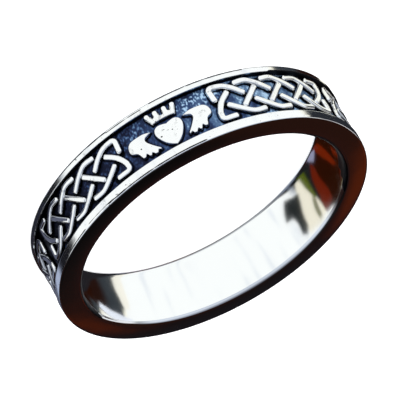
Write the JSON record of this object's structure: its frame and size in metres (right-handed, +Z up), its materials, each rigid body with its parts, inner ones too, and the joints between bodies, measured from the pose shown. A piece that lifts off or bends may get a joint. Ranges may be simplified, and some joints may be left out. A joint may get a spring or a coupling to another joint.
{
  "type": "celtic knot band ring",
  "caption": "Cast finger ring with raised rails and a sunk channel that holds a crowned heart between two hands and panels of plaited knotwork.",
  "frame": {"origin": "centre of the ring on the surface that it lies on", "axes": "+Z up along the axis of the finger, from the crown's edge to the edge that the heart points to; the heart faces -Y"},
  "size_m": [0.0212, 0.0212, 0.0043],
  "materials": {
    "silver": "polished silver, with the sunk channel blackened and stippled"
  },
  "bodies": {
    "root": {"band": "silver"}
  },
  "joints": []
}
